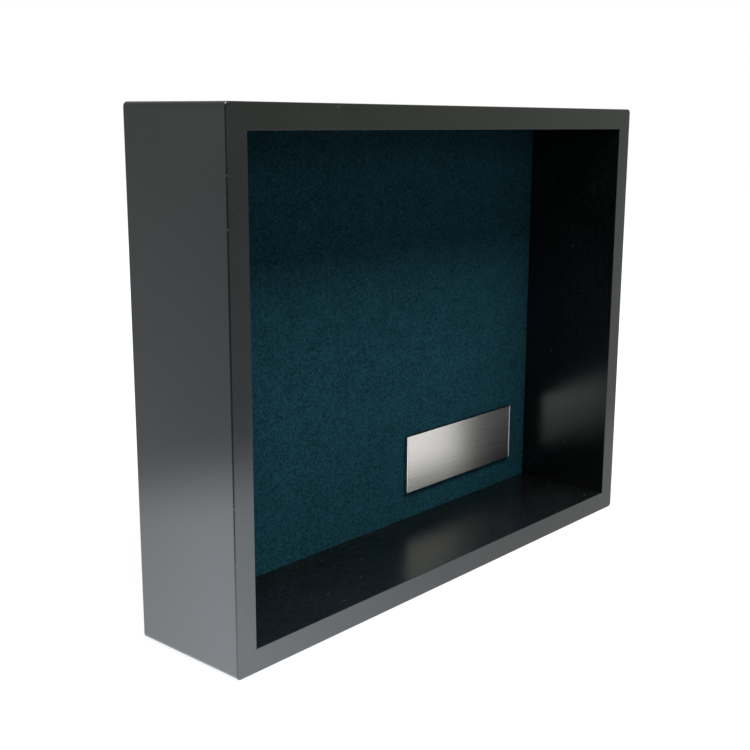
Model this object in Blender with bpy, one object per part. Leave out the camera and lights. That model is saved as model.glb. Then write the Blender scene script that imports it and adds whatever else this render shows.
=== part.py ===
"""Shadow box: a mitred black lacquered case with a velvet covered back board and a small steel
nameplate. The board is held in its rebate by turn buttons and carries a sawtooth hanger.

The frame has its origin in the middle of the bottom face. +X is to the right, +Z is up and
the open front faces -Y.
"""

import math

import bmesh
import bpy
from mathutils import Matrix, Vector

MM = 0.001

# Driving dimensions of the case
CASE_WIDTH = 236.5 * MM
CASE_HEIGHT = 185.0 * MM
CASE_DEPTH = 49.5 * MM
WALL = 8.6 * MM
CORNER_RADIUS = 1.6 * MM
ARRIS_RADIUS = 0.45 * MM
INNER_ARRIS_RADIUS = 0.2 * MM

# Rebate at the back, which takes the velvet and the board
REBATE_WIDTH = 3.0 * MM
BOARD_THICKNESS = 3.0 * MM
VELVET_THICKNESS = 0.6 * MM

# Room between pieces: clamped mitres, other glued faces, and pieces that are laid in or turn
MITRE_LINE = 0.04 * MM
GLUE_LINE = 0.1 * MM
FIT_GAP = 0.3 * MM

# Loose tongues in the mitres
TONGUE_THICKNESS = 2.0 * MM
TONGUE_WIDTH = 6.4 * MM
TONGUE_END_WOOD = 6.0 * MM
TONGUE_POSITION_SHARE = 0.58
TONGUE_CHAMFER = 0.3 * MM

# Nameplate, on its adhesive sheet
PLATE_WIDTH = 76.2 * MM
PLATE_HEIGHT = 25.4 * MM
PLATE_THICKNESS = 1.2 * MM
PLATE_EDGE_EASE = 0.15 * MM
PLATE_LIP_HEIGHT = 0.13 * MM
PLATE_LIP_CREST = 0.2 * MM
PLATE_LIP_SLOPE = 0.4 * MM
PLATE_SIDE_MARGIN = 14.2 * MM
PLATE_BOTTOM_MARGIN = 12.0 * MM
ADHESIVE_THICKNESS = 0.3 * MM
ADHESIVE_INSET = 1.5 * MM

# Turn buttons and their screws
BUTTON_REACH = 12.0 * MM
BUTTON_PIVOT_RADIUS = 2.6 * MM
BUTTON_NOSE_RADIUS = 2.2 * MM
BUTTON_THICKNESS = 1.0 * MM
BUTTON_EDGE_BEVEL = 0.2 * MM
BUTTON_DIMPLE_RADIUS = 1.1 * MM
BUTTON_DIMPLE_DEPTH = 0.4 * MM
BUTTON_PLACE_SHARE = 0.29
SCREW_RADIUS = 1.1 * MM
SCREW_TIP_LENGTH = 2.2 * MM
SCREW_LENGTH = 10.0 * MM
SCREW_HEAD_RADIUS = 2.1 * MM
SCREW_HEAD_HEIGHT = 1.3 * MM
RECESS_LENGTH = 2.2 * MM
RECESS_WIDTH = 0.5 * MM
RECESS_DEPTH = 0.7 * MM

# Sawtooth hanger and its nails
HANGER_LENGTH = 46.0 * MM
HANGER_HEIGHT = 9.0 * MM
HANGER_SHEET = 0.7 * MM
HANGER_RISE = 2.0 * MM
HANGER_TAB = 7.0 * MM
HANGER_SLOPE = 3.0 * MM
HANGER_TOP_MARGIN = 8.0 * MM
TOOTH_COUNT = 13
TOOTH_DEPTH = 1.6 * MM
NAIL_RADIUS = 0.8 * MM
NAIL_HEAD_RADIUS = 1.7 * MM
NAIL_HEAD_HEIGHT = 0.8 * MM

# Cuts run this far past the face that they open
OVERRUN = 2.0 * MM

# Steps around arcs and turned pieces
ARRIS_SEGMENTS = 4
ARC_STEPS = 8
TURN_STEPS = 24
DOME_STEPS = 5

# Lines and planes that several pieces share
FRONT_Y = -CASE_DEPTH / 2
REAR_Y = CASE_DEPTH / 2
REBATE_DEPTH = FIT_GAP + VELVET_THICKNESS + GLUE_LINE + BOARD_THICKNESS
SHOULDER_Y = REAR_Y - REBATE_DEPTH
VELVET_Y = SHOULDER_Y + FIT_GAP
BOARD_Y = VELVET_Y + VELVET_THICKNESS + GLUE_LINE
RIM_WIDTH = WALL - REBATE_WIDTH
OPENING_WIDTH = CASE_WIDTH - 2 * WALL
OPENING_HEIGHT = CASE_HEIGHT - 2 * WALL
BOARD_WIDTH = OPENING_WIDTH + 2 * REBATE_WIDTH - 2 * FIT_GAP
BOARD_HEIGHT = OPENING_HEIGHT + 2 * REBATE_WIDTH - 2 * FIT_GAP
MIDDLE_Z = CASE_HEIGHT / 2


def clear_scene():
    """Empty the scene, so that the script can be run again."""
    for old in list(bpy.data.objects):
        bpy.data.objects.remove(old, do_unlink=True)


def make_material(name, color, roughness, metallic=0.0):
    """One plain surface finish."""
    material = bpy.data.materials.new(name)
    material.use_nodes = True
    shader = material.node_tree.nodes["Principled BSDF"]
    shader.inputs["Base Color"].default_value = (*color, 1.0)
    shader.inputs["Roughness"].default_value = roughness
    shader.inputs["Metallic"].default_value = metallic
    return material


def add_object(name, mesh_builder, material=None, smooth_angle=None):
    """Turn a finished bmesh into a named object with outward faces."""
    bmesh.ops.recalc_face_normals(mesh_builder, faces=mesh_builder.faces)
    mesh = bpy.data.meshes.new(name)
    mesh_builder.to_mesh(mesh)
    mesh_builder.free()
    if smooth_angle is not None:
        mesh.shade_smooth()
        mesh.set_sharp_from_angle(angle=smooth_angle)
    obj = bpy.data.objects.new(name, mesh)
    bpy.context.collection.objects.link(obj)
    if material is not None:
        mesh.materials.append(material)
    return obj


def make_guide(obj):
    """Mark an object as a cutter or guide, which is no piece of the box."""
    obj.hide_render = True
    obj.display_type = "WIRE"
    return obj


def cut(obj, guide, operation="DIFFERENCE"):
    """Cut an object with a guide, or keep what it shares with the guide."""
    modifier = obj.modifiers.new(guide.name, "BOOLEAN")
    modifier.operation = operation
    modifier.solver = "EXACT"
    modifier.object = guide


def add_box(mesh_builder, size, centre, turn=None):
    """Add a box; turn is a rotation about its own centre."""
    matrix = Matrix.Translation(centre)
    if turn is not None:
        matrix = matrix @ turn
    matrix = matrix @ Matrix.Diagonal((*size, 1.0))
    bmesh.ops.create_cube(mesh_builder, size=1.0, matrix=matrix)


def add_prism(mesh_builder, outline, front_y, rear_y):
    """Add a flat piece whose outline is a list of (x, z), between two planes along Y."""
    rings = [[mesh_builder.verts.new((x, y, z)) for x, z in outline] for y in (front_y, rear_y)]
    mesh_builder.faces.new(rings[0])
    mesh_builder.faces.new(reversed(rings[1]))
    for i in range(len(outline)):
        j = (i + 1) % len(outline)
        mesh_builder.faces.new((rings[0][i], rings[0][j], rings[1][j], rings[1][i]))


def add_turned(mesh_builder, profile, centre, steps):
    """Add a solid turned about an axis along Y; profile is (radius, y), ends on the axis."""
    rings = []
    for radius, y in profile:
        if radius == 0.0:
            rings.append([mesh_builder.verts.new(centre + Vector((0.0, y, 0.0)))])
            continue
        ring = []
        for step in range(steps):
            angle = 2 * math.pi * step / steps
            spoke = Vector((radius * math.cos(angle), y, radius * math.sin(angle)))
            ring.append(mesh_builder.verts.new(centre + spoke))
        rings.append(ring)
    for low, high in zip(rings, rings[1:]):
        for step in range(steps):
            following = (step + 1) % steps
            if len(low) == 1:
                mesh_builder.faces.new((low[0], high[step], high[following]))
            elif len(high) == 1:
                mesh_builder.faces.new((low[step], high[0], low[following]))
            else:
                mesh_builder.faces.new((low[step], high[step], high[following], low[following]))


def arc(centre, radius, start, end, steps):
    """Points of an arc in two dimensions, angles in degrees, both ends included."""
    points = []
    for step in range(steps + 1):
        angle = math.radians(start + (end - start) * step / steps)
        points.append((centre[0] + radius * math.cos(angle), centre[1] + radius * math.sin(angle)))
    return points


# The four sides of the case: the way in from the outer face, and half the outer length and
# height that the side lies on
SIDES = {
    "top_rail": (Vector((0, 0, -1)), CASE_WIDTH / 2, CASE_HEIGHT / 2),
    "bottom_rail": (Vector((0, 0, 1)), CASE_WIDTH / 2, CASE_HEIGHT / 2),
    "left_stile": (Vector((1, 0, 0)), CASE_HEIGHT / 2, CASE_WIDTH / 2),
    "right_stile": (Vector((-1, 0, 0)), CASE_HEIGHT / 2, CASE_WIDTH / 2),
}
CORNERS = {
    "top_left": (-1, 1),
    "top_right": (1, 1),
    "bottom_left": (-1, -1),
    "bottom_right": (1, -1),
}
CENTRE = Vector((0.0, 0.0, MIDDLE_Z))


def side_point(side, along, inward, y):
    """A point on a side: along it from its middle, inward from its outer face, and y."""
    inward_way, _, reach = SIDES[side]
    along_way = Vector((abs(inward_way.z), 0, abs(inward_way.x)))
    return CENTRE + along_way * along + inward_way * (inward - reach) + Vector((0, y, 0))


def runs_front_to_back(edge):
    """Whether an edge of the case block runs along its depth."""
    return abs(edge.verts[0].co.y - edge.verts[1].co.y) > CASE_DEPTH / 2


def round_edges(mesh_builder, edges, radius):
    """Round some edges of a block."""
    bmesh.ops.bevel(
        mesh_builder,
        geom=edges,
        offset=radius,
        segments=ARRIS_SEGMENTS,
        profile=0.5,
        affect="EDGES",
        clamp_overlap=True,
    )


def make_case_block():
    """The outer block of the case, which trims all four sides: sanded corners, eased arrises."""
    block = bmesh.new()
    add_box(block, (CASE_WIDTH, CASE_DEPTH, CASE_HEIGHT), CENTRE)
    round_edges(block, [edge for edge in block.edges if runs_front_to_back(edge)], CORNER_RADIUS)
    round_edges(block, [edge for edge in block.edges if not runs_front_to_back(edge)], ARRIS_RADIUS)
    return make_guide(add_object("case_block", block))


def side_profile():
    """Section of a side as (inward, y): inner face, rounded front arris and rear rebate."""
    arris_centre = (WALL - INNER_ARRIS_RADIUS, FRONT_Y + INNER_ARRIS_RADIUS)
    profile = [(-OVERRUN, FRONT_Y - OVERRUN), (WALL - INNER_ARRIS_RADIUS, FRONT_Y - OVERRUN)]
    profile += arc(arris_centre, INNER_ARRIS_RADIUS, -90, 0, ARRIS_SEGMENTS)
    profile += [
        (WALL, SHOULDER_Y),
        (RIM_WIDTH, SHOULDER_Y),
        (RIM_WIDTH, REAR_Y + OVERRUN),
        (-OVERRUN, REAR_Y + OVERRUN),
    ]
    return profile


def tongue_centre(corner):
    """Middle of a corner's tongue, on the mitre plane."""
    side_x, side_z = CORNERS[corner]
    inward = WALL * (1 - TONGUE_POSITION_SHARE)
    x = side_x * (CASE_WIDTH / 2 - inward)
    z = side_z * (CASE_HEIGHT / 2 - inward)
    return CENTRE + Vector((x, (FRONT_Y + SHOULDER_Y) / 2, z))


def tongue_turn(corner):
    """Rotation that lays a tongue's width across its mitre."""
    side_x, side_z = CORNERS[corner]
    return Matrix.Rotation(math.radians(45 * side_x * side_z), 4, "Y")


TONGUE_LENGTH = SHOULDER_Y - FRONT_Y - 2 * TONGUE_END_WOOD


def make_groove(corner):
    """The blind groove that two sides share for the tongue."""
    groove = bmesh.new()
    size = (
        TONGUE_WIDTH + 2 * FIT_GAP,
        TONGUE_LENGTH + 2 * FIT_GAP,
        TONGUE_THICKNESS + 2 * FIT_GAP,
    )
    add_box(groove, size, tongue_centre(corner), tongue_turn(corner))
    return make_guide(add_object(corner + "_groove", groove))


def make_tongue(corner, material):
    """A loose plywood tongue glued across a mitre."""
    tongue = bmesh.new()
    size = (TONGUE_WIDTH, TONGUE_LENGTH, TONGUE_THICKNESS)
    add_box(tongue, size, tongue_centre(corner), tongue_turn(corner))
    bmesh.ops.bevel(tongue, geom=tongue.edges[:], offset=TONGUE_CHAMFER, segments=1, affect="EDGES")
    add_object(corner + "_tongue", tongue, material)


# Turn buttons: the rail each one is on and its place along that rail
BUTTONS = {
    "top_left_button": ("top_rail", -BUTTON_PLACE_SHARE * CASE_WIDTH),
    "top_right_button": ("top_rail", BUTTON_PLACE_SHARE * CASE_WIDTH),
    "bottom_left_button": ("bottom_rail", -BUTTON_PLACE_SHARE * CASE_WIDTH),
    "bottom_right_button": ("bottom_rail", BUTTON_PLACE_SHARE * CASE_WIDTH),
}
BUTTON_Y = REAR_Y + FIT_GAP
HEAD_Y = BUTTON_Y + BUTTON_THICKNESS + FIT_GAP


def button_pivot(button, y):
    """Point of a button's screw axis at y: in the middle of the rim beside the rebate."""
    side, along = BUTTONS[button]
    return side_point(side, along, RIM_WIDTH / 2, y)


def make_screw_hole(button):
    """The hole that a button's screw is driven into."""
    hole = bmesh.new()
    radius = SCREW_RADIUS + GLUE_LINE
    tip = HEAD_Y - SCREW_LENGTH - FIT_GAP
    profile = [(0.0, tip), (radius, tip), (radius, REAR_Y + OVERRUN), (0.0, REAR_Y + OVERRUN)]
    add_turned(hole, profile, button_pivot(button, 0.0), TURN_STEPS)
    return make_guide(add_object(button + "_screw_hole", hole))


def make_side(side, case_block, guides, material):
    """One side of the case: a mitred length of moulding with a rebate along its back."""
    _, half_length, _ = SIDES[side]
    half_mitre_line = MITRE_LINE / math.sqrt(2)
    member = bmesh.new()
    rings = []
    for end in (-1, 1):
        ring = []
        for inward, y in side_profile():
            along = end * (half_length - inward - half_mitre_line)
            ring.append(member.verts.new(side_point(side, along, inward, y)))
        rings.append(ring)
    member.faces.new(rings[0])
    member.faces.new(reversed(rings[1]))
    for i in range(len(rings[0])):
        j = (i + 1) % len(rings[0])
        member.faces.new((rings[0][i], rings[0][j], rings[1][j], rings[1][i]))
    obj = add_object(side, member, material, smooth_angle=math.radians(30))
    cut(obj, case_block, "INTERSECT")
    for guide in guides:
        cut(obj, guide)


def make_case(material):
    """The four lacquered sides, with their grooves and screw holes."""
    case_block = make_case_block()
    grooves = {corner: make_groove(corner) for corner in CORNERS}
    holes = {button: make_screw_hole(button) for button in BUTTONS}
    for side in SIDES:
        place = side.split("_")[0]
        guides = [grooves[corner] for corner in CORNERS if place in corner.split("_")]
        guides += [holes[button] for button in BUTTONS if BUTTONS[button][0] == side]
        make_side(side, case_block, guides, material)


def make_velvet(material):
    """The velvet that covers the board's front, cut to the board's own size."""
    velvet = bmesh.new()
    middle = CENTRE + Vector((0, VELVET_Y + VELVET_THICKNESS / 2, 0))
    add_box(velvet, (BOARD_WIDTH, VELVET_THICKNESS, BOARD_HEIGHT), middle)
    add_object("velvet_lining", velvet, material)


HANGER_Z = CASE_HEIGHT - RIM_WIDTH - HANGER_TOP_MARGIN - HANGER_HEIGHT / 2
NAIL_OFFSET = (HANGER_LENGTH - HANGER_TAB) / 2
HANGER_Y = REAR_Y + GLUE_LINE
NAIL_HEAD_Y = HANGER_Y + HANGER_SHEET + GLUE_LINE
NAILS = {"hanger_nail_left": -NAIL_OFFSET, "hanger_nail_right": NAIL_OFFSET}


def make_nail_hole(nail):
    """The hole for a hanger nail, through the hanger and the board."""
    hole = bmesh.new()
    radius = NAIL_RADIUS + GLUE_LINE
    front = BOARD_Y - VELVET_THICKNESS
    rear = NAIL_HEAD_Y + OVERRUN
    profile = [(0.0, front), (radius, front), (radius, rear), (0.0, rear)]
    add_turned(hole, profile, Vector((NAILS[nail], 0.0, HANGER_Z)), TURN_STEPS)
    return make_guide(add_object(nail + "_hole", hole))


def make_board(nail_holes, material):
    """The hardboard back, flush with the rear of the case."""
    board = bmesh.new()
    middle = CENTRE + Vector((0, BOARD_Y + BOARD_THICKNESS / 2, 0))
    add_box(board, (BOARD_WIDTH, BOARD_THICKNESS, BOARD_HEIGHT), middle)
    obj = add_object("back_board", board, material)
    for hole in nail_holes:
        cut(obj, hole)


PLATE_X = OPENING_WIDTH / 2 - PLATE_SIDE_MARGIN - PLATE_WIDTH / 2
PLATE_Z = WALL + PLATE_BOTTOM_MARGIN + PLATE_HEIGHT / 2
ADHESIVE_Y = VELVET_Y - GLUE_LINE
PLATE_REAR_Y = ADHESIVE_Y - ADHESIVE_THICKNESS - GLUE_LINE


def make_adhesive(material):
    """The double sided sheet that holds the nameplate to the velvet."""
    sheet = bmesh.new()
    size = (
        PLATE_WIDTH - 2 * ADHESIVE_INSET,
        ADHESIVE_THICKNESS,
        PLATE_HEIGHT - 2 * ADHESIVE_INSET,
    )
    add_box(sheet, size, Vector((PLATE_X, ADHESIVE_Y - ADHESIVE_THICKNESS / 2, PLATE_Z)))
    add_object("plate_adhesive", sheet, material)


def plate_section():
    """Section of the nameplate as (x, y): each sheared end stands up in a narrow lip."""
    half_width = PLATE_WIDTH / 2
    face_y = PLATE_REAR_Y - PLATE_THICKNESS
    left_end = [
        (-half_width, PLATE_REAR_Y),
        (-half_width, face_y),
        (-half_width + PLATE_LIP_CREST, face_y - PLATE_LIP_HEIGHT),
        (-half_width + PLATE_LIP_CREST + PLATE_LIP_SLOPE, face_y),
    ]
    return left_end + [(-x, y) for x, y in reversed(left_end)]


def make_nameplate(material):
    """The blank steel nameplate, its long front edges eased."""
    half_height = PLATE_HEIGHT / 2
    levels = (
        (-half_height, PLATE_EDGE_EASE),
        (-half_height + PLATE_EDGE_EASE, 0.0),
        (half_height - PLATE_EDGE_EASE, 0.0),
        (half_height, PLATE_EDGE_EASE),
    )
    plate = bmesh.new()
    rings = []
    for z, ease in levels:
        ring = []
        for x, y in plate_section():
            eased_y = y if y == PLATE_REAR_Y else y + ease
            ring.append(plate.verts.new((PLATE_X + x, eased_y, PLATE_Z + z)))
        rings.append(ring)
    plate.faces.new(rings[0])
    plate.faces.new(rings[-1])
    for low, high in zip(rings, rings[1:]):
        for i in range(len(low)):
            j = (i + 1) % len(low)
            plate.faces.new((low[i], low[j], high[j], high[i]))
    add_object("nameplate", plate, material)


def button_outline():
    """Outline of a button that points along +X from its pivot: two arcs and their tangents."""
    spread = math.degrees(math.acos((BUTTON_PIVOT_RADIUS - BUTTON_NOSE_RADIUS) / BUTTON_REACH))
    outline = arc((0.0, 0.0), BUTTON_PIVOT_RADIUS, spread, 360 - spread, 2 * ARC_STEPS)
    outline += arc((BUTTON_REACH, 0.0), BUTTON_NOSE_RADIUS, -spread, spread, ARC_STEPS)
    return outline


def make_button(button, material):
    """A pressed steel turn button; its origin is on the screw's axis, its nose over the board."""
    side, _ = BUTTONS[button]
    inward_way, _, _ = SIDES[side]
    tab = bmesh.new()
    add_prism(tab, button_outline(), 0.0, BUTTON_THICKNESS)
    rims = [e for e in tab.edges if len({v.co.y for v in e.verts}) == 1]
    bmesh.ops.bevel(tab, geom=rims, offset=BUTTON_EDGE_BEVEL, segments=1, affect="EDGES")
    obj = add_object(button, tab, material, smooth_angle=math.radians(30))
    obj.location = button_pivot(button, BUTTON_Y)
    obj.rotation_euler = (0.0, math.atan2(-inward_way.z, inward_way.x), 0.0)

    hole = bmesh.new()
    radius = SCREW_RADIUS + FIT_GAP
    profile = [
        (0.0, -OVERRUN),
        (radius, -OVERRUN),
        (radius, BUTTON_THICKNESS + OVERRUN),
        (0.0, BUTTON_THICKNESS + OVERRUN),
    ]
    add_turned(hole, profile, Vector((0, 0, 0)), TURN_STEPS)
    hole_guide = make_guide(add_object(button + "_hole", hole))
    hole_guide.parent = obj
    cut(obj, hole_guide)

    dimple = bmesh.new()
    floor_y = BUTTON_THICKNESS - BUTTON_DIMPLE_DEPTH
    floor_radius = BUTTON_DIMPLE_RADIUS - BUTTON_DIMPLE_DEPTH
    top_radius = BUTTON_DIMPLE_RADIUS + OVERRUN
    profile = [
        (0.0, floor_y),
        (floor_radius, floor_y),
        (top_radius, BUTTON_THICKNESS + OVERRUN),
        (0.0, BUTTON_THICKNESS + OVERRUN),
    ]
    add_turned(dimple, profile, Vector((BUTTON_REACH, 0, 0)), TURN_STEPS)
    dimple_guide = make_guide(add_object(button + "_dimple", dimple))
    dimple_guide.parent = obj
    cut(obj, dimple_guide)


def make_screw(button, material):
    """A pan head screw with a cross recess, driven into the rim through its button."""
    tip_y = HEAD_Y - SCREW_LENGTH
    profile = [
        (0.0, tip_y),
        (SCREW_RADIUS, tip_y + SCREW_TIP_LENGTH),
        (SCREW_RADIUS, HEAD_Y),
        (SCREW_HEAD_RADIUS, HEAD_Y),
    ]
    for step in range(1, DOME_STEPS):
        angle = math.pi / 2 * step / DOME_STEPS
        radius = SCREW_HEAD_RADIUS * math.cos(angle) ** 0.5
        profile.append((radius, HEAD_Y + SCREW_HEAD_HEIGHT * math.sin(angle)))
    profile.append((0.0, HEAD_Y + SCREW_HEAD_HEIGHT))
    screw = bmesh.new()
    pivot = button_pivot(button, 0.0)
    add_turned(screw, profile, pivot, TURN_STEPS)
    obj = add_object(button + "_screw", screw, material, smooth_angle=math.radians(35))
    floor_y = HEAD_Y + SCREW_HEAD_HEIGHT - RECESS_DEPTH
    recess_height = RECESS_DEPTH + OVERRUN
    for name, quarter_turn in (("slot", 0), ("cross_slot", 90)):
        slot = bmesh.new()
        middle = pivot + Vector((0, floor_y + recess_height / 2, 0))
        turn = Matrix.Rotation(math.radians(quarter_turn), 4, "Y")
        add_box(slot, (RECESS_LENGTH, recess_height, RECESS_WIDTH), middle, turn)
        cut(obj, make_guide(add_object(button + "_" + name, slot)))


def hanger_stations():
    """Places along the hanger as (x, rise): flat ends, sloped shoulders, raised middle."""
    half = HANGER_LENGTH / 2
    slope_start = half - HANGER_TAB
    slope_end = slope_start - HANGER_SLOPE
    stations = [(-half, 0.0), (-slope_start, 0.0), (-slope_end, HANGER_RISE)]
    toothed = 2 * slope_end
    for step in range(1, 2 * TOOTH_COUNT):
        stations.append((-slope_end + toothed * step / (2 * TOOTH_COUNT), HANGER_RISE))
    stations += [(slope_end, HANGER_RISE), (slope_start, 0.0), (half, 0.0)]
    return stations


def make_hanger(nail_holes, material):
    """A sawtooth hanger of bent steel strip, its teeth along the lower edge."""
    stations = hanger_stations()
    first_tooth = 2
    hanger = bmesh.new()
    sections = []
    for index, (x, rise) in enumerate(stations):
        low_z = HANGER_Z - HANGER_HEIGHT / 2
        in_teeth = 0 <= index - first_tooth <= 2 * TOOTH_COUNT
        if in_teeth and (index - first_tooth) % 2 == 1:
            low_z += TOOTH_DEPTH
        high_z = HANGER_Z + HANGER_HEIGHT / 2
        near_y = HANGER_Y + rise
        far_y = near_y + HANGER_SHEET
        places = ((near_y, low_z), (far_y, low_z), (far_y, high_z), (near_y, high_z))
        sections.append([hanger.verts.new((x, y, z)) for y, z in places])
    hanger.faces.new(sections[0])
    hanger.faces.new(reversed(sections[-1]))
    for low, high in zip(sections, sections[1:]):
        for i in range(len(low)):
            j = (i + 1) % len(low)
            hanger.faces.new((low[i], low[j], high[j], high[i]))
    obj = add_object("sawtooth_hanger", hanger, material)
    for hole in nail_holes:
        cut(obj, hole)


def make_nail(nail, material):
    """A round headed nail through the hanger's end into the board."""
    profile = [
        (0.0, BOARD_Y + FIT_GAP),
        (NAIL_RADIUS, BOARD_Y + FIT_GAP + NAIL_RADIUS),
        (NAIL_RADIUS, NAIL_HEAD_Y),
        (NAIL_HEAD_RADIUS, NAIL_HEAD_Y),
    ]
    for step in range(1, DOME_STEPS):
        angle = math.pi / 2 * step / DOME_STEPS
        radius = NAIL_HEAD_RADIUS * math.cos(angle)
        profile.append((radius, NAIL_HEAD_Y + NAIL_HEAD_HEIGHT * math.sin(angle)))
    profile.append((0.0, NAIL_HEAD_Y + NAIL_HEAD_HEIGHT))
    body = bmesh.new()
    add_turned(body, profile, Vector((NAILS[nail], 0.0, HANGER_Z)), TURN_STEPS)
    add_object(nail, body, material, smooth_angle=math.radians(35))


def make_box():
    """Put the whole shadow box together."""
    lacquer = make_material("black_lacquer", (0.021, 0.022, 0.022), 0.38)
    velvet = make_material("teal_velvet", (0.010, 0.052, 0.070), 0.95)
    steel = make_material("brushed_steel", (0.56, 0.56, 0.54), 0.34, 1.0)
    zinc = make_material("zinc_plate", (0.60, 0.61, 0.63), 0.35, 1.0)
    hardboard = make_material("hardboard", (0.23, 0.13, 0.07), 0.75)
    plywood = make_material("birch_ply", (0.62, 0.48, 0.31), 0.7)
    adhesive = make_material("adhesive_sheet", (0.75, 0.75, 0.72), 0.6)

    make_case(lacquer)
    for corner in CORNERS:
        make_tongue(corner, plywood)
    nail_holes = [make_nail_hole(nail) for nail in NAILS]
    make_velvet(velvet)
    make_board(nail_holes, hardboard)
    make_adhesive(adhesive)
    make_nameplate(steel)
    for button in BUTTONS:
        make_button(button, zinc)
        make_screw(button, zinc)
    make_hanger(nail_holes, zinc)
    for nail in NAILS:
        make_nail(nail, zinc)


clear_scene()
make_box()
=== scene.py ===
import math

import bmesh
import bpy
from mathutils import Matrix, Vector, noise


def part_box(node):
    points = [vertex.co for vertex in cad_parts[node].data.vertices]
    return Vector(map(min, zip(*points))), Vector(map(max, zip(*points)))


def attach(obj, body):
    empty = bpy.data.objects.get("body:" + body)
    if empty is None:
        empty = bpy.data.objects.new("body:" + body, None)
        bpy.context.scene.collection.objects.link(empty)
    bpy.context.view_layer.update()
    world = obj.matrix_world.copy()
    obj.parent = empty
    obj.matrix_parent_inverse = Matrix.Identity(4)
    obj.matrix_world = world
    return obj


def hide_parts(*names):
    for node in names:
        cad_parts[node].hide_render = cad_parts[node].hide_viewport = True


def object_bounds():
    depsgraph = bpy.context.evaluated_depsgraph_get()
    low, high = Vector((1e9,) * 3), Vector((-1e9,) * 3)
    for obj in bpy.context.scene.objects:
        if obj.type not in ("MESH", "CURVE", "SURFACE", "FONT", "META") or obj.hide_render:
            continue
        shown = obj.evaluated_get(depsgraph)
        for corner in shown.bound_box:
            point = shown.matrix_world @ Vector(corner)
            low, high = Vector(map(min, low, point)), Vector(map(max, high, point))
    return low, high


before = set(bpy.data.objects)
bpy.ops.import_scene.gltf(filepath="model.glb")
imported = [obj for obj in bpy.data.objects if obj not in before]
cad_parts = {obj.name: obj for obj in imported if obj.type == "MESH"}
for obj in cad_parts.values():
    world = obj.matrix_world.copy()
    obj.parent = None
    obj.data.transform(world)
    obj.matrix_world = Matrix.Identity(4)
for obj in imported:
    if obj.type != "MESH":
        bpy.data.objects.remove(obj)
cad_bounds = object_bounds()


# The case
# Four mitred sides of fibreboard moulding, glued over loose tongues and then sprayed as one
# with black lacquer, which hides the joints. The spray leaves a faint orange peel, a few
# specks of dust and small chips along the arrises.

MM = 0.001
CASE_SIDES = ("top_rail", "bottom_rail", "left_stile", "right_stile")
CASE_LOW, CASE_HIGH = (Vector(corner) for corner in (
    [min(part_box(side)[0][axis] for side in CASE_SIDES) for axis in range(3)],
    [max(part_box(side)[1][axis] for side in CASE_SIDES) for axis in range(3)],
))
CASE_MIDDLE = (CASE_LOW + CASE_HIGH) / 2
CASE_HALF = (CASE_HIGH - CASE_LOW) / 2
INNER_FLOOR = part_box("bottom_rail")[1][2]


def linear(color):
    """Linear RGBA of an sRGB colour written as #rrggbb."""
    values = []
    for start in (1, 3, 5):
        value = int(color[start:start + 2], 16) / 255
        values.append(value / 12.92 if value <= 0.04045 else ((value + 0.055) / 1.055) ** 2.4)
    return (*values, 1.0)


def new_material(name):
    """A new node material and its Principled shader."""
    material = bpy.data.materials.new(name)
    material.use_nodes = True
    return material, material.node_tree.nodes["Principled BSDF"]


def add_node(owner, kind, inputs=None, **settings):
    """Add a node to a material or world, with its settings and inputs."""
    node = owner.node_tree.nodes.new("ShaderNode" + kind)
    for name, value in settings.items():
        setattr(node, name, value)
    set_inputs(owner, node, inputs or {})
    return node


def set_inputs(owner, node, inputs):
    """Set a node's named or numbered inputs to plain values, or link them to (node, output)."""
    for name, value in inputs.items():
        if isinstance(value, tuple) and isinstance(value[0], bpy.types.Node):
            owner.node_tree.links.new(value[0].outputs[value[1]], node.inputs[name])
        else:
            node.inputs[name].default_value = value


def finish_pieces(names, material):
    """Give pieces of the frame this material alone."""
    for name in names:
        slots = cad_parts[name].data.materials
        slots.clear()
        slots.append(material)


# Sprayed black lacquer, rubbed to satin: a near black body, faintly mottled by the spray, under
# a clear film that mirrors the table softly, more softly inside, where it wasn't rubbed.
LACQUER_BLACK = "#050606"
LACQUER_WORN = "#1b1c1c"
LACQUER_FILM = "#f4fffb"
LACQUER_IOR = 1.5
ORANGE_PEEL = 1.3 * MM
PEEL_RELIEF = 0.03 * MM
SPRAY_CLOUD = 28 * MM
CLOUD_SHARE = 0.35
MOTTLE_LOW, MOTTLE_HIGH = 0.38, 0.62
RUBBED_SMOOTH, RUBBED_DULL = 0.17, 0.21
INSIDE_ROUGHNESS = 0.265
INSIDE_FROM = 8 * MM

# Nearly all values of a noise node lie between these.
NOISE_LOW, NOISE_HIGH = 0.3, 0.7

lacquer, lacquer_shader = new_material("sprayed_black_lacquer")
place = add_node(lacquer, "TexCoord")
peel = add_node(lacquer, "TexNoise", {
    "Vector": (place, "Object"), "Scale": 1 / ORANGE_PEEL, "Detail": 2.0, "Roughness": 0.6})
cloud = add_node(lacquer, "TexNoise", {
    "Vector": (place, "Object"), "Scale": 1 / SPRAY_CLOUD, "Detail": 4.0, "Roughness": 0.6})
mottle = add_node(lacquer, "Mix", {
    0: CLOUD_SHARE, 2: (peel, 0), 3: (cloud, 0)}, data_type="FLOAT")
mottle_range = add_node(lacquer, "MapRange", {
    "Value": (mottle, 0), "From Min": MOTTLE_LOW, "From Max": MOTTLE_HIGH})
mottle_color = add_node(lacquer, "Mix", {
    0: (mottle_range, 0), 6: linear(LACQUER_BLACK), 7: linear(LACQUER_WORN)}, data_type="RGBA")

# Dust that dried into the lacquer: pale specks, all over.
DUST_GREY = "#4e504d"
DUST_SPACING = 8 * MM
DUST_RADIUS = 0.35 * MM

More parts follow.
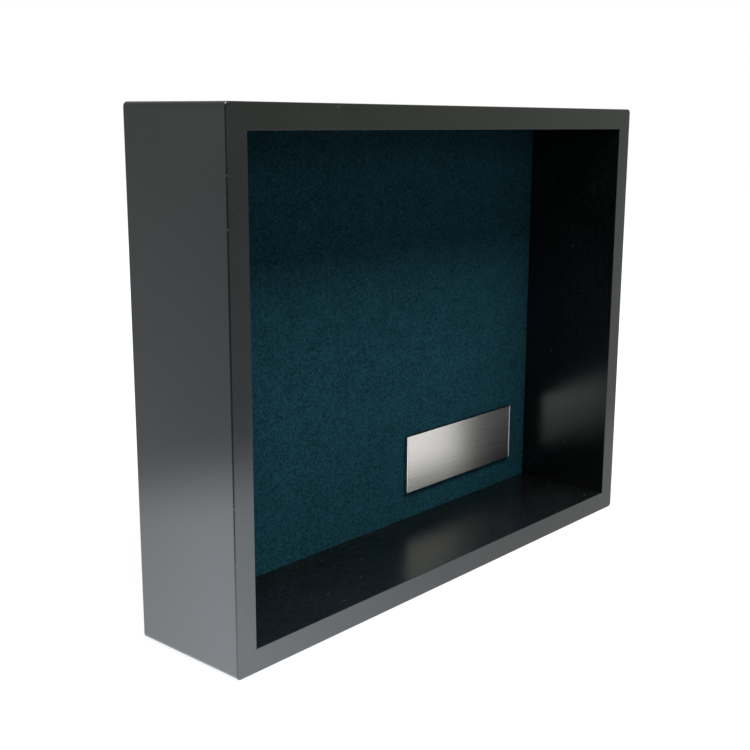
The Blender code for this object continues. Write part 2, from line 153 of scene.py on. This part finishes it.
dust = add_node(lacquer, "TexVoronoi", {
    "Vector": (place, "Object"), "Scale": 1 / DUST_SPACING})
dust_spot = add_node(lacquer, "Math", {
    0: (dust, "Distance"), 1: DUST_RADIUS / DUST_SPACING}, operation="LESS_THAN")
dust_color = add_node(lacquer, "Mix", {
    0: (dust_spot, 0), 6: (mottle_color, 2), 7: linear(DUST_GREY)}, data_type="RGBA")

# Wear: the arrises are chipped down to the grey undercoat in short stretches. The upper left
# corner in front carries a small pale spot.
CHIP_GREY = "#6f726e"
CHIP_LENGTH = 2.6 * MM
CHIP_REACH = 0.6 * MM
CHIP_START, CHIP_FULL = 0.62, 0.74
CORNER_SPOT_PALE = "#bfc1bc"
PALE_SPOT_CORNER = Vector((CASE_LOW.x, CASE_LOW.y, CASE_HIGH.z))
PALE_SPOT_RADIUS = 0.92 * MM

from_middle = add_node(lacquer, "VectorMath", {
    0: (place, "Object"), 1: CASE_MIDDLE}, operation="SUBTRACT")
out_from_middle = add_node(lacquer, "VectorMath", {0: (from_middle, 0)}, operation="ABSOLUTE")
in_from_faces = add_node(lacquer, "VectorMath", {
    0: CASE_HALF, 1: (out_from_middle, 0)}, operation="SUBTRACT")
depths = add_node(lacquer, "SeparateXYZ", {0: (in_from_faces, 0)})
from_upright = add_node(lacquer, "Math", {0: (depths, "X"), 1: (depths, "Y")})
from_long = add_node(lacquer, "Math", {0: (depths, "Y"), 1: (depths, "Z")})
from_arris = add_node(lacquer, "Math", {
    0: (from_upright, 0), 1: (from_long, 0)}, operation="MINIMUM")
chip_noise = add_node(lacquer, "TexNoise", {
    "Vector": (place, "Object"), "Scale": 1 / CHIP_LENGTH, "Detail": 3.0, "Roughness": 0.6})
chip_reach = add_node(lacquer, "MapRange", {
    "Value": (chip_noise, 0), "From Min": CHIP_START, "From Max": CHIP_FULL,
    "To Max": CHIP_REACH})
chip_spot = add_node(lacquer, "Math", {
    0: (from_arris, 0), 1: (chip_reach, 0)}, operation="LESS_THAN")
chip_color = add_node(lacquer, "Mix", {
    0: (chip_spot, 0), 6: (dust_color, 2), 7: linear(CHIP_GREY)}, data_type="RGBA")
from_pale_spot = add_node(lacquer, "VectorMath", {
    0: (place, "Object"), 1: PALE_SPOT_CORNER}, operation="DISTANCE")
pale_corner_spot = add_node(lacquer, "Math", {
    0: (from_pale_spot, "Value"), 1: PALE_SPOT_RADIUS}, operation="LESS_THAN")
lacquer_color = add_node(lacquer, "Mix", {
    0: (pale_corner_spot, 0), 6: (chip_color, 2), 7: linear(CORNER_SPOT_PALE)}, data_type="RGBA")

film_roughness = add_node(lacquer, "MapRange", {
    "Value": (mottle, 0), "From Min": NOISE_LOW, "From Max": NOISE_HIGH,
    "To Min": RUBBED_SMOOTH, "To Max": RUBBED_DULL})
from_outside = add_node(lacquer, "Math", {
    0: (depths, "X"), 1: (depths, "Z")}, operation="MINIMUM")
inside = add_node(lacquer, "Math", {
    0: (from_outside, 0), 1: INSIDE_FROM}, operation="GREATER_THAN")
lacquer_roughness = add_node(lacquer, "Mix", {
    0: (inside, 0), 2: (film_roughness, 0), 3: INSIDE_ROUGHNESS}, data_type="FLOAT")
ripple = add_node(lacquer, "Bump", {
    "Height": (peel, 0), "Strength": 0.3, "Distance": PEEL_RELIEF})

# Painted light and shade on the inner floor: a faint bluish grey is painted in, strongest toward
# the open front, where it stands in for light, and weaker at the right end, where it stands in
# for the shade in that corner.
PAINTED_LIGHT_GREY = "#3d4552"
PAINTED_LIGHT_SHARE = 0.18
PAINTED_LIGHT_REACH = 36 * MM
PAINTED_LIGHT_TOP = INNER_FLOOR + 0.2 * MM
PAINTED_SHADE_FROM = 50 * MM
PAINTED_SHADE_TO = 95 * MM
PAINTED_SHADE_SHARE = 0.2

places = add_node(lacquer, "SeparateXYZ", {0: (place, "Object")})
on_inner_floor = add_node(lacquer, "Math", {
    0: (places, "Z"), 1: PAINTED_LIGHT_TOP}, operation="LESS_THAN")
painted_light_forward = add_node(lacquer, "MapRange", {
    "Value": (places, "Y"), "From Min": CASE_LOW.y, "From Max": CASE_LOW.y + PAINTED_LIGHT_REACH,
    "To Min": PAINTED_LIGHT_SHARE, "To Max": 0.0})
painted_corner_shade = add_node(lacquer, "MapRange", {
    "Value": (places, "X"), "From Min": PAINTED_SHADE_FROM, "From Max": PAINTED_SHADE_TO,
    "To Min": 1.0, "To Max": PAINTED_SHADE_SHARE})
painted_light_spread = add_node(lacquer, "Math", {
    0: (painted_light_forward, 0), 1: (painted_corner_shade, 0)}, operation="MULTIPLY")
painted_light_inside = add_node(lacquer, "Math", {
    0: (inside, 0), 1: (painted_light_spread, 0)}, operation="MULTIPLY")
painted_light_mask = add_node(lacquer, "Math", {
    0: (painted_light_inside, 0), 1: (on_inner_floor, 0)}, operation="MULTIPLY")
# The painted light and shade of the inner floor, mixed into the lacquer's colour.
painted_light_color = add_node(lacquer, "Mix", {
    0: (painted_light_mask, 0), 6: (lacquer_color, 2), 7: linear(PAINTED_LIGHT_GREY)}, data_type="RGBA")
set_inputs(lacquer, lacquer_shader, {
    "Base Color": (painted_light_color, 2),
    "Roughness": (lacquer_roughness, 0),
    "Normal": (ripple, 0),
    "IOR": LACQUER_IOR,
    "Specular Tint": linear(LACQUER_FILM),
})
finish_pieces(CASE_SIDES, lacquer)


# The loose tongues
# Birch plywood strips, sawn to width and glued across the four mitres, which hide them.

BIRCH_PALE = "#d8c39c"
BIRCH_DARK = "#a88657"
BIRCH_ROUGHNESS = 0.7
BIRCH_GRAIN = 0.8 * MM
BIRCH_GRAIN_SHARE = 0.35
PLY_THICKNESS = 0.7 * MM
ACROSS_PLIES = Vector((1.0, 0.0, 1.0)).normalized()
TONGUES = [corner + "_tongue"
           for corner in ("top_left", "top_right", "bottom_left", "bottom_right")]

# How far apart the wave node's bands lie at a scale of 1.
WAVE_LENGTH = math.tau / 20

# Birch plywood, sanded: pale and dark plies, seen as stripes on the sawn edges. They lie
# parallel to the strip's faces, at 45 degrees in every corner, under a fine short grain.
plywood, plywood_shader = new_material("birch_plywood")
place = add_node(plywood, "TexCoord")
from_middle = add_node(plywood, "VectorMath", {
    0: (place, "Object"), 1: CASE_MIDDLE}, operation="SUBTRACT")
out_from_middle = add_node(plywood, "VectorMath", {0: (from_middle, 0)}, operation="ABSOLUTE")
across_plies = add_node(plywood, "VectorMath", {
    0: (out_from_middle, 0), 1: ACROSS_PLIES}, operation="DOT_PRODUCT")
plies = add_node(plywood, "TexWave", {
    "Vector": (across_plies, "Value"), "Scale": WAVE_LENGTH / (2 * PLY_THICKNESS)},
    bands_direction="X")
birch_grain = add_node(plywood, "TexNoise", {
    "Vector": (place, "Object"), "Scale": 1 / BIRCH_GRAIN, "Detail": 3.0})
ply_share = add_node(plywood, "Mix", {
    0: BIRCH_GRAIN_SHARE, 2: (plies, "Fac"), 3: (birch_grain, 0)}, data_type="FLOAT")
ply_color = add_node(plywood, "Mix", {
    0: (ply_share, 0), 6: linear(BIRCH_DARK), 7: linear(BIRCH_PALE)}, data_type="RGBA")
set_inputs(plywood, plywood_shader, {
    "Base Color": (ply_color, 2), "Roughness": BIRCH_ROUGHNESS})
finish_pieces(TONGUES, plywood)


# The back board
# Tempered hardboard, pressed from brown wood fibre. It lies in the rebate of the case and
# carries the velvet in front and the hanger behind.

HARDBOARD_BROWN = "#75523a"
HARDBOARD_DARK = "#4a3122"
HARDBOARD_ROUGHNESS = 0.55
FIBRE_LENGTH = 1.6 * MM
FIBRE_CLOUD = 30 * MM
FIBRE_CLOUD_SHARE = 0.3
FIBRE_LOW, FIBRE_HIGH = 0.36, 0.56
FIBRE_RELIEF = 0.05 * MM

# Tempered hardboard: a smooth, hard brown face with darker fibre flecks and slow clouds.
hardboard, hardboard_shader = new_material("tempered_hardboard")
place = add_node(hardboard, "TexCoord")
fibres = add_node(hardboard, "TexNoise", {
    "Vector": (place, "Object"), "Scale": 1 / FIBRE_LENGTH, "Detail": 5.0, "Roughness": 0.7,
    "Distortion": 1.5})
board_cloud = add_node(hardboard, "TexNoise", {
    "Vector": (place, "Object"), "Scale": 1 / FIBRE_CLOUD, "Detail": 2.0})
fibre_share = add_node(hardboard, "Mix", {
    0: FIBRE_CLOUD_SHARE, 2: (fibres, 0), 3: (board_cloud, 0)}, data_type="FLOAT")
fibre_range = add_node(hardboard, "MapRange", {
    "Value": (fibre_share, 0), "From Min": FIBRE_LOW, "From Max": FIBRE_HIGH})
board_color = add_node(hardboard, "Mix", {
    0: (fibre_range, 0), 6: linear(HARDBOARD_DARK), 7: linear(HARDBOARD_BROWN)},
    data_type="RGBA")
board_grain = add_node(hardboard, "Bump", {
    "Height": (fibres, 0), "Strength": 0.3, "Distance": FIBRE_RELIEF})
set_inputs(hardboard, hardboard_shader, {
    "Base Color": (board_color, 2),
    "Roughness": HARDBOARD_ROUGHNESS,
    "Normal": (board_grain, 0),
})
finish_pieces(["back_board"], hardboard)


# The lining
# Dark teal velvet, cut to the size of the board and glued flat to its front. The short pile
# stands in small uneven tufts, so the face is grainy and catches a little light at a slant.

VELVET_LOW, VELVET_HIGH = (Vector(corner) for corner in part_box("velvet_lining"))
VELVET_WIDTH = VELVET_HIGH.x - VELVET_LOW.x
VELVET_HEIGHT = VELVET_HIGH.z - VELVET_LOW.z
PILE_STEP = 0.75 * MM
PILE_RELIEF = 0.05 * MM
PILE_MIDDLE_SHARE = 0.5
TUFT = 1.6 * MM
TUFT_SHARE = 0.3
FIBRE_SHARE = 0.2
EDGE_ANGLE = math.radians(50)


def velvet_height(x, z):
    """How far the pile stands back from the lining's front plane at a place."""
    tufts = noise.noise(Vector((x, z, 0.0)) / TUFT)
    pile_fibres = noise.noise(Vector((z, x, 1.0)) / PILE_STEP)
    return PILE_RELIEF * (PILE_MIDDLE_SHARE + TUFT_SHARE * tufts + FIBRE_SHARE * pile_fibres)


def make_lining():
    """A closed sheet: a fine grid for the pile, straight edges and a flat back."""
    columns = round(VELVET_WIDTH / PILE_STEP)
    rows = round(VELVET_HEIGHT / PILE_STEP)
    builder = bmesh.new()
    grid = []
    for row in range(rows + 1):
        z = VELVET_LOW.z + VELVET_HEIGHT * row / rows
        line = []
        for column in range(columns + 1):
            x = VELVET_LOW.x + VELVET_WIDTH * column / columns
            line.append(builder.verts.new((x, VELVET_LOW.y + velvet_height(x, z), z)))
        grid.append(line)
    for low, high in zip(grid, grid[1:]):
        for column in range(columns):
            builder.faces.new((low[column], low[column + 1], high[column + 1], high[column]))
    border = grid[0] + [line[-1] for line in grid[1:]]
    border += grid[-1][-2::-1] + [line[0] for line in grid[-2:0:-1]]
    backs = [builder.verts.new((vert.co.x, VELVET_HIGH.y, vert.co.z)) for vert in border]
    for i, vert in enumerate(border):
        j = (i + 1) % len(border)
        builder.faces.new((border[j], vert, backs[i], backs[j]))
    builder.faces.new(reversed(backs))
    bmesh.ops.recalc_face_normals(builder, faces=builder.faces)
    mesh = bpy.data.meshes.new("velvet_cloth")
    builder.to_mesh(mesh)
    builder.free()
    mesh.shade_smooth()
    mesh.set_sharp_from_angle(angle=EDGE_ANGLE)
    return bpy.data.objects.new("velvet_cloth", mesh)


velvet_cloth = make_lining()
bpy.context.scene.collection.objects.link(velvet_cloth)

# Woven velvet: the pile swallows light, so it is a deep, even teal with a fine dry grain and
# a little pale lint. The real pile is finer than a pixel, so its grain is drawn coarser to show.
VELVET_DEEP = "#102e37"
VELVET_TIP = "#24505d"
VELVET_BLOOM = "#3f7f90"
VELVET_ROUGHNESS = 0.95
VELVET_SPECULAR = 0.1
VELVET_SHEEN = 0.06
VELVET_SHEEN_ROUGHNESS = 0.5
PILE_GRAIN = 0.8 * MM
PILE_BUMP = 0.1 * MM
NAP_CLOUD = 9 * MM
NAP_SHARE = 0.15
TIP_LOW, TIP_HIGH = 0.36, 0.64
LINT_GREY = "#4f7780"
LINT_SPACING = 9 * MM
LINT_RADIUS = 0.2 * MM

velvet, velvet_shader = new_material("woven_teal_velvet")
place = add_node(velvet, "TexCoord")
grain = add_node(velvet, "TexNoise", {
    "Vector": (place, "Object"), "Scale": 1 / PILE_GRAIN, "Detail": 2.0, "Roughness": 0.6})
nap = add_node(velvet, "TexNoise", {
    "Vector": (place, "Object"), "Scale": 1 / NAP_CLOUD, "Detail": 3.0, "Roughness": 0.6})
tip_share = add_node(velvet, "Mix", {
    0: NAP_SHARE, 2: (grain, 0), 3: (nap, 0)}, data_type="FLOAT")
tip_range = add_node(velvet, "MapRange", {
    "Value": (tip_share, 0), "From Min": TIP_LOW, "From Max": TIP_HIGH})
tip_color = add_node(velvet, "Mix", {
    0: (tip_range, 0), 6: linear(VELVET_DEEP), 7: linear(VELVET_TIP)}, data_type="RGBA")
lint = add_node(velvet, "TexVoronoi", {
    "Vector": (place, "Object"), "Scale": 1 / LINT_SPACING})
lint_spot = add_node(velvet, "Math", {
    0: (lint, "Distance"), 1: LINT_RADIUS / LINT_SPACING}, operation="LESS_THAN")
lint_color = add_node(velvet, "Mix", {
    0: (lint_spot, 0), 6: (tip_color, 2), 7: linear(LINT_GREY)}, data_type="RGBA")
pile = add_node(velvet, "Bump", {
    "Height": (grain, 0), "Strength": 0.4, "Distance": PILE_BUMP})
set_inputs(velvet, velvet_shader, {
    "Base Color": (lint_color, 2),
    "Roughness": VELVET_ROUGHNESS,
    "Specular IOR Level": VELVET_SPECULAR,
    "Sheen Weight": VELVET_SHEEN,
    "Sheen Roughness": VELVET_SHEEN_ROUGHNESS,
    "Sheen Tint": linear(VELVET_BLOOM),
    "Normal": (pile, 0),
})
velvet_cloth.data.materials.append(velvet)
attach(velvet_cloth, "case")
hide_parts("velvet_lining")


# The nameplate
# A stock blank of stainless steel, brushed along its length and sheared at both ends, where
# the cut stands up in a low lip. An adhesive sheet a little smaller than the plate holds it to
# the velvet. It is left blank.

STEEL_BRIGHT = "#f6f4ef"
STEEL_DULL = "#dddcd8"
STEEL_SMOOTH, STEEL_ROUGH = 0.27, 0.36
STEEL_ANISOTROPY = 0.3
BRUSH_LENGTH = 15 * MM
BRUSH_WIDTH = 0.12 * MM

# Brushed stainless steel: fine level scratches, which draw the mirrored table out into soft
# upright streaks.
steel, steel_shader = new_material("brushed_stainless_steel")
place = add_node(steel, "TexCoord")
along_brush = add_node(steel, "Mapping", {
    "Vector": (place, "Object"), "Scale": (1 / BRUSH_LENGTH, 1 / BRUSH_LENGTH, 1 / BRUSH_WIDTH)})
brush = add_node(steel, "TexNoise", {
    "Vector": (along_brush, 0), "Scale": 1.0, "Detail": 2.0, "Roughness": 0.5})
steel_color = add_node(steel, "Mix", {
    0: (brush, 0), 6: linear(STEEL_DULL), 7: linear(STEEL_BRIGHT)}, data_type="RGBA")
steel_roughness = add_node(steel, "MapRange", {
    "Value": (brush, 0), "From Min": NOISE_LOW, "From Max": NOISE_HIGH,
    "To Min": STEEL_SMOOTH, "To Max": STEEL_ROUGH})
across_brush = add_node(steel, "CombineXYZ", {"Z": 1.0})
set_inputs(steel, steel_shader, {
    "Base Color": (steel_color, 2),
    "Metallic": 1.0,
    "Roughness": (steel_roughness, 0),
    "Anisotropic": STEEL_ANISOTROPY,
    "Tangent": (across_brush, 0),
})
finish_pieces(["nameplate"], steel)

FOAM_WHITE = "#d9d9d3"
FOAM_SHADE = "#bdbdb6"
FOAM_ROUGHNESS = 0.6
FOAM_CELL = 0.25 * MM

# White acrylic foam, cast as a sheet: a dull white edge with a fine closed cell.
foam, foam_shader = new_material("acrylic_foam_adhesive")
place = add_node(foam, "TexCoord")
cells = add_node(foam, "TexVoronoi", {
    "Vector": (place, "Object"), "Scale": 1 / FOAM_CELL})
foam_color = add_node(foam, "Mix", {
    0: (cells, "Distance"), 6: linear(FOAM_WHITE), 7: linear(FOAM_SHADE)}, data_type="RGBA")
set_inputs(foam, foam_shader, {"Base Color": (foam_color, 2), "Roughness": FOAM_ROUGHNESS})
finish_pieces(["plate_adhesive"], foam)


# The rear hardware
# Turn buttons pressed from steel strip on pan head screws, and a sawtooth hanger on two
# nails, all barrel plated with zinc.

ZINC_BRIGHT = "#cfd2d6"
ZINC_CLOUD = "#a9adb3"
ZINC_SMOOTH, ZINC_ROUGH = 0.24, 0.42
ZINC_PATCH = 3 * MM
SCUFF = 0.5 * MM
SCUFF_RELIEF = 0.02 * MM
ZINC_NODES = [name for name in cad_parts
              if "button" in name or "hanger" in name]

# Zinc plate, tumbled in a barrel: a bluish grey metal, faintly clouded and scuffed.
zinc, zinc_shader = new_material("zinc_plated_steel")
place = add_node(zinc, "TexCoord")
patches = add_node(zinc, "TexNoise", {
    "Vector": (place, "Object"), "Scale": 1 / ZINC_PATCH, "Detail": 5.0, "Roughness": 0.65})
scuffs = add_node(zinc, "TexNoise", {
    "Vector": (place, "Object"), "Scale": 1 / SCUFF, "Detail": 4.0, "Distortion": 2.0})
zinc_color = add_node(zinc, "Mix", {
    0: (patches, 0), 6: linear(ZINC_CLOUD), 7: linear(ZINC_BRIGHT)}, data_type="RGBA")
zinc_roughness = add_node(zinc, "MapRange", {
    "Value": (patches, 0), "From Min": NOISE_LOW, "From Max": NOISE_HIGH,
    "To Min": ZINC_SMOOTH, "To Max": ZINC_ROUGH})
zinc_scuffs = add_node(zinc, "Bump", {
    "Height": (scuffs, 0), "Strength": 0.2, "Distance": SCUFF_RELIEF})
set_inputs(zinc, zinc_shader, {
    "Base Color": (zinc_color, 2),
    "Metallic": 1.0,
    "Roughness": (zinc_roughness, 0),
    "Normal": (zinc_scuffs, 0),
})
finish_pieces(ZINC_NODES, zinc)


# The stage
# A pale table under the box. To the camera it is white but for the box's soft shadow. What the
# lacquer and the steel mirror is a lit pool round the box, brightest and faintly bluish at its
# left, and a dimmer table beyond, brighter at the left rear and dimmest on the camera's side.

FLOOR_RADIUS = 3.0
FLOOR_SIDES = 64
FLOOR_GREY = "#939393"
FLOOR_ROUGHNESS = 0.9
FLOOR_DROP = 0.1 * MM
POOL_CENTRE = Vector((-0.02, 0.0, 0.0))
POOL_HALF_SIZE = Vector((0.31, 0.18, 1.0))
POOL_EDGE_START_SHARE = 0.8
POOL_EDGE_END_SHARE = 1.4
POOL_SLANT = Vector((1.0, 0.8, 0.0))
POOL_LEFT = -0.135
POOL_RIGHT = 0.085
POOL_LEFT_GLOW = 3.6
POOL_RIGHT_GLOW = 1.04
POOL_FALL = 2.2
POOL_LEFT_TINT = "#f6f6ff"
POOL_RIGHT_TINT = "#ffffff"
TABLE_LEFT_WAY = -0.74
TABLE_RIGHT_WAY = -0.56
TABLE_LEFT_GLOW = 1.1
TABLE_RIGHT_GLOW = 0.76
CAMERA_SIDE = Vector((-0.74, -0.67, 0.0))
CAMERA_SIDE_START = 0.12
CAMERA_SIDE_END = 0.24
CAMERA_SIDE_SHARE = 0.33
WHITE_NEAR = 0.89
WHITE_FAR = 1.0
WHITE_START_SHARE = 0.8
WHITE_END_SHARE = 2.5

floor_builder = bmesh.new()
bmesh.ops.create_circle(
    floor_builder, cap_ends=True, segments=FLOOR_SIDES, radius=FLOOR_RADIUS)
floor_mesh = bpy.data.meshes.new("floor")
floor_builder.to_mesh(floor_mesh)
floor_builder.free()
floor = bpy.data.objects.new("floor", floor_mesh)
floor.location.z = cad_bounds[0][2] - FLOOR_DROP
bpy.context.scene.collection.objects.link(floor)

# Matt pale laminate: an even face with no gloss, which takes the shadow softly.
table, table_shader = new_material("matt_pale_laminate")
set_inputs(table, table_shader, {
    "Base Color": linear(FLOOR_GREY), "Roughness": FLOOR_ROUGHNESS})
ray = add_node(table, "LightPath")
place = add_node(table, "TexCoord")
pool_place = add_node(table, "Mapping", {
    "Vector": (place, "Object"), "Location": POOL_CENTRE, "Scale": POOL_HALF_SIZE},
    vector_type="TEXTURE")
from_pool = add_node(table, "VectorMath", {0: (pool_place, 0)}, operation="LENGTH")
across_pool = add_node(table, "VectorMath", {
    0: (place, "Object"), 1: POOL_SLANT}, operation="DOT_PRODUCT")
left_share = add_node(table, "MapRange", {
    "Value": (across_pool, "Value"), "From Min": POOL_LEFT, "From Max": POOL_RIGHT,
    "To Min": 1.0, "To Max": 0.0})
pool_fall = add_node(table, "Math", {0: (left_share, 0), 1: POOL_FALL}, operation="POWER")
pool_glow = add_node(table, "MapRange", {
    "Value": (pool_fall, 0), "To Min": POOL_RIGHT_GLOW, "To Max": POOL_LEFT_GLOW})
table_tint = add_node(table, "Mix", {
    0: (left_share, 0), 6: linear(POOL_RIGHT_TINT), 7: linear(POOL_LEFT_TINT)},
    data_type="RGBA")
way = add_node(table, "VectorMath", {0: (place, "Object")}, operation="NORMALIZE")
ways = add_node(table, "SeparateXYZ", {0: (way, 0)})
table_glow = add_node(table, "MapRange", {
    "Value": (ways, "X"), "From Min": TABLE_LEFT_WAY, "From Max": TABLE_RIGHT_WAY,
    "To Min": TABLE_LEFT_GLOW, "To Max": TABLE_RIGHT_GLOW})
pool_edge = add_node(table, "MapRange", {
    "Value": (from_pool, "Value"), "From Min": POOL_EDGE_START_SHARE,
    "From Max": POOL_EDGE_END_SHARE}, interpolation_type="SMOOTHSTEP")
lit_glow = add_node(table, "Mix", {
    0: (pool_edge, 0), 2: (pool_glow, 0), 3: (table_glow, 0)}, data_type="FLOAT")
toward_camera_side = add_node(table, "VectorMath", {
    0: (place, "Object"), 1: CAMERA_SIDE}, operation="DOT_PRODUCT")
side_share = add_node(table, "MapRange", {
    "Value": (toward_camera_side, "Value"), "From Min": CAMERA_SIDE_START,
    "From Max": CAMERA_SIDE_END, "To Min": 1.0, "To Max": CAMERA_SIDE_SHARE},
    interpolation_type="SMOOTHSTEP")
mirrored_glow = add_node(table, "Math", {
    0: (lit_glow, 0), 1: (side_share, 0)}, operation="MULTIPLY")
mirrored_table = add_node(table, "Emission", {
    "Color": (table_tint, 2), "Strength": (mirrored_glow, 0)})
seen_glow = add_node(table, "MapRange", {
    "Value": (from_pool, "Value"), "From Min": WHITE_START_SHARE, "From Max": WHITE_END_SHARE,
    "To Min": WHITE_NEAR, "To Max": WHITE_FAR}, interpolation_type="SMOOTHSTEP")
seen_white = add_node(table, "Emission", {"Strength": (seen_glow, 0)})
seen_table = add_node(table, "AddShader", {0: (table_shader, 0), 1: (seen_white, 0)})
seen_mix = add_node(table, "MixShader", {
    0: (ray, "Is Camera Ray"), 1: (table_shader, 0), 2: (seen_table, 0)})
mirrored_mix = add_node(table, "MixShader", {
    0: (ray, "Is Glossy Ray"), 1: (seen_mix, 0), 2: (mirrored_table, 0)})
set_inputs(table, table.node_tree.nodes["Material Output"], {"Surface": (mirrored_mix, 0)})
floor_mesh.materials.append(table)


# Light
# One wide soft lamp high in front, which leaves the top of the lining in the rail's shadow, a
# weaker one low in front, one behind for the back, and a dim room. The lacquer mirrors the
# room like the table below it: brighter at the left rear and dimmer on the camera's side.

LAMP_AIM = Vector((0.0, 0.0, 0.09))


def add_lamp(name, place, width, depth, watts):
    """A rectangular soft lamp that points at the box and isn't mirrored."""
    light = bpy.data.lights.new(name, "AREA")
    light.shape = "RECTANGLE"
    light.size = width
    light.size_y = depth
    light.energy = watts
    lamp = bpy.data.objects.new(name, light)
    lamp_turn = (LAMP_AIM - Vector(place)).to_track_quat("-Z", "Y").to_matrix().to_4x4()
    lamp.matrix_world = Matrix.Translation(place) @ lamp_turn
    lamp.visible_glossy = False
    bpy.context.scene.collection.objects.link(lamp)


add_lamp("high_lamp", place=(0.025, -0.566, 0.985), width=1.55, depth=0.34, watts=10.8)
add_lamp("low_lamp", place=(0.0, -1.0, 0.42), width=1.6, depth=0.3, watts=1.3)
add_lamp("rear_lamp", place=(0.3, 1.1, 0.9), width=1.2, depth=0.5, watts=8.0)

WHITE = "#ffffff"
ROOM_GLOW = 0.03
ROOM_LEFT_WAY = -0.66
ROOM_RIGHT_WAY = -0.56
ROOM_LEFT_GLOW = 1.0
ROOM_RIGHT_GLOW = 0.605
ROOM_LEFT_TINT = "#fcffff"
ROOM_RIGHT_TINT = "#fdfff5"
ROOM_SIDE_START = 0.4
ROOM_SIDE_END = 0.8

world = bpy.data.worlds.new("studio")
bpy.context.scene.world = world
world.use_nodes = True
room = world.node_tree.nodes["Background"]
set_inputs(world, room, {"Strength": ROOM_GLOW, "Color": linear(WHITE)})
ray = add_node(world, "LightPath")
way = add_node(world, "TexCoord")
ways = add_node(world, "SeparateXYZ", {0: (way, "Generated")})
right_share = add_node(world, "MapRange", {
    "Value": (ways, "X"), "From Min": ROOM_LEFT_WAY, "From Max": ROOM_RIGHT_WAY})
room_glow = add_node(world, "MapRange", {
    "Value": (right_share, 0), "To Min": ROOM_LEFT_GLOW, "To Max": ROOM_RIGHT_GLOW})
room_tint = add_node(world, "Mix", {
    0: (right_share, 0), 6: linear(ROOM_LEFT_TINT), 7: linear(ROOM_RIGHT_TINT)},
    data_type="RGBA")
way_to_camera_side = add_node(world, "VectorMath", {
    0: (way, "Generated"), 1: CAMERA_SIDE}, operation="DOT_PRODUCT")
room_share = add_node(world, "MapRange", {
    "Value": (way_to_camera_side, "Value"), "From Min": ROOM_SIDE_START,
    "From Max": ROOM_SIDE_END, "To Min": 1.0, "To Max": CAMERA_SIDE_SHARE},
    interpolation_type="SMOOTHSTEP")
mirrored_room_glow = add_node(world, "Math", {
    0: (room_glow, 0), 1: (room_share, 0)}, operation="MULTIPLY")
mirrored_room = add_node(world, "Background", {
    "Color": (room_tint, 2), "Strength": (mirrored_room_glow, 0)})
white_view = add_node(world, "Background", {"Color": linear(WHITE), "Strength": 1.0})
mirrored_mix = add_node(world, "MixShader", {
    0: (ray, "Is Glossy Ray"), 1: (room, 0), 2: (mirrored_room, 0)})
view_mix = add_node(world, "MixShader", {
    0: (ray, "Is Camera Ray"), 1: (mirrored_mix, 0), 2: (white_view, 0)})
set_inputs(world, world.node_tree.nodes["World Output"], {"Surface": (view_mix, 0)})


# The camera
# It stands at the box's left, at the height of its top, as in the photograph.

CAMERA_PLACE = Vector((-0.34728, -0.28809, 0.1804))
CAMERA_AIM = Vector((-0.01375, 0.0, 0.08524))
CAMERA_ROLL = math.radians(0.461)
CAMERA_SHIFT_SHARES = (-0.0228, -0.0112)
LENS = 55.246
SENSOR = 36.0

camera_data = bpy.data.cameras.new("camera")
camera_data.lens = LENS
camera_data.sensor_width = SENSOR
camera_data.shift_x, camera_data.shift_y = CAMERA_SHIFT_SHARES
camera = bpy.data.objects.new("camera", camera_data)
camera_turn = (CAMERA_AIM - CAMERA_PLACE).to_track_quat("-Z", "Y").to_matrix().to_4x4()
camera.matrix_world = (
    Matrix.Translation(CAMERA_PLACE) @ camera_turn @ Matrix.Rotation(CAMERA_ROLL, 4, "Z"))
bpy.context.scene.collection.objects.link(camera)
bpy.context.scene.camera = camera

scene = bpy.context.scene
scene.view_settings.view_transform = "Standard"
